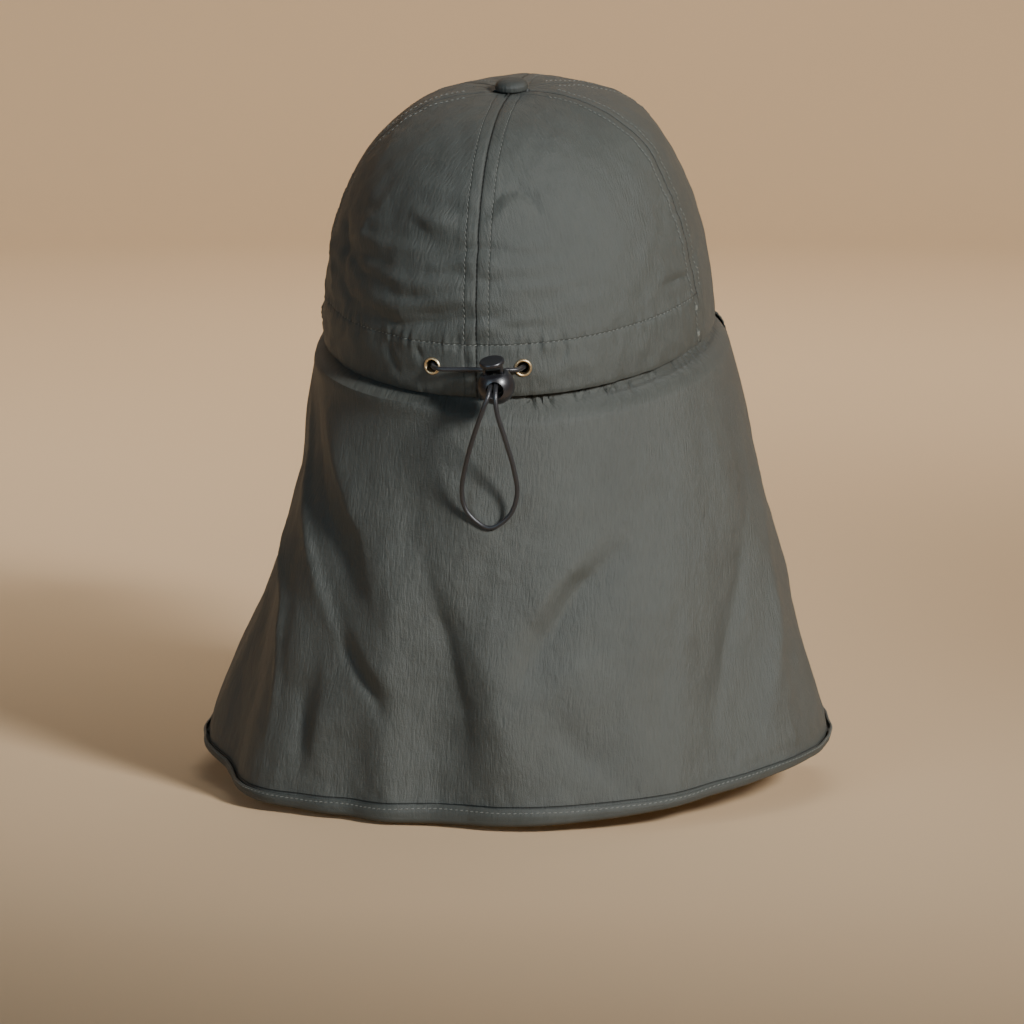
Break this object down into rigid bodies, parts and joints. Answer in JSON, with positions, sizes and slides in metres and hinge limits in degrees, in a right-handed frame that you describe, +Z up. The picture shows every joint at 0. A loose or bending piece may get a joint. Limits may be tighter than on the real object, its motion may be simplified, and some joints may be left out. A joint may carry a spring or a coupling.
{
  "type": "sun cap with neck flap",
  "caption": "Cloth sun cap sewn from panels, with a peak, a long bound neck flap and a drawcord through eyelets with a cord lock at the back.",
  "frame": {"origin": "middle of the head opening, in the plane of the crown's rim", "axes": "+Z up as worn, -Y towards the peak, +Y towards the back and the neck flap, +X to the wearer's left"},
  "size_m": [0.2793, 0.2952, 0.3067],
  "materials": {
    "shell_cloth": "crinkled matt nylon",
    "facing_cloth": "smooth matt nylon",
    "binding_tape": "folded woven tape",
    "eyelet_brass": "worn polished brass",
    "cord": "round braided cord",
    "lock_plastic": "glossy black"
  },
  "bodies": {
    "cap": {"back_left": "shell_cloth", "back_right": "shell_cloth", "side_left": "shell_cloth", "side_right": "shell_cloth", "front_left": "shell_cloth", "front_right": "shell_cloth", "button": "shell_cloth", "neck_flap": "shell_cloth", "peak": "shell_cloth", "channel_facing": "facing_cloth", "eyelet_left": "eyelet_brass", "eyelet_right": "eyelet_brass", "drawcord": "cord", "toggle_barrel": "lock_plastic", "hem_binding": "binding_tape"},
    "plunger": {"toggle_plunger": "lock_plastic"}
  },
  "joints": [
    {"name": "plunger_press", "type": "slide", "parent": "cap", "child": "plunger", "axis": [-0.0952, -0.3224, -0.9418], "range_m": [0, 0.0035], "stiffness_N_per_m": 600}
  ]
}
